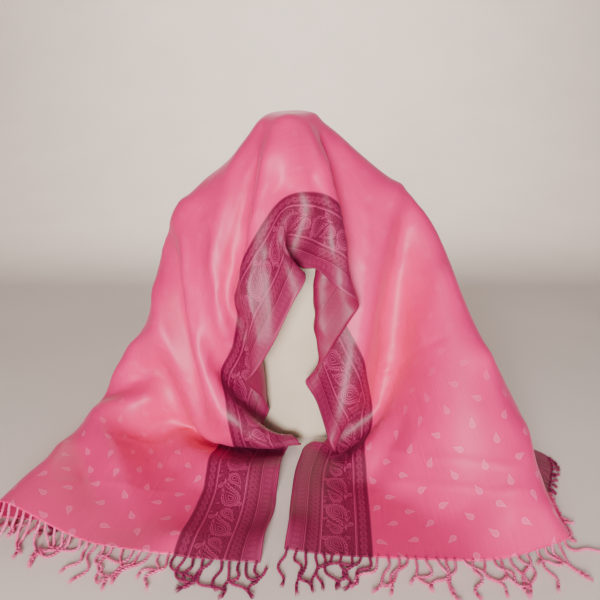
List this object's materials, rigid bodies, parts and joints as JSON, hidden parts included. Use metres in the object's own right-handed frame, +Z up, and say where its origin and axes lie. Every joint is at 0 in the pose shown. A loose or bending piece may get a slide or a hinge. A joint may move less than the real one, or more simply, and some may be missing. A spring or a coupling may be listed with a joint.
{
  "type": "pashmina shawl on a limbless dress form",
  "caption": "Long rectangular shawl with woven side borders and knotted fringes, draped over a glossy shoulder form, both ends spread forward on the table.",
  "frame": {"origin": "on the underside of the display form's base, where it stands on the table", "axes": "+Z up, -Y the side that the open front of the shawl faces, +X along the spread of the two ends"},
  "size_m": [0.917, 0.6708, 0.5737],
  "materials": {
    "form_shell": "glossy cream white, sprayed",
    "field_silk": "silky pink jacquard with small paisleys",
    "border_silk": "dark magenta jacquard border with pink paisley line work",
    "field_fringe": "twisted pink silk strands",
    "border_fringe": "twisted dark magenta silk strands"
  },
  "bodies": {
    "root": {"display_form": "form_shell", "front_border_left_end": "border_silk", "field_left_end": "field_silk", "rear_border_left_end": "border_silk", "front_border_left_fall": "border_silk", "field_left_fall": "field_silk", "rear_border_left_fall": "border_silk", "front_border_crown": "border_silk", "field_crown": "field_silk", "rear_border_crown": "border_silk", "front_border_right_fall": "border_silk", "field_right_fall": "field_silk", "rear_border_right_fall": "border_silk", "front_border_right_end": "border_silk", "field_right_end": "field_silk", "rear_border_right_end": "border_silk", "fringe_left_front_border": "border_fringe", "fringe_left_field": "field_fringe", "fringe_left_rear_border": "border_fringe", "fringe_right_front_border": "border_fringe", "fringe_right_field": "field_fringe", "fringe_right_rear_border": "border_fringe"}
  },
  "joints": []
}
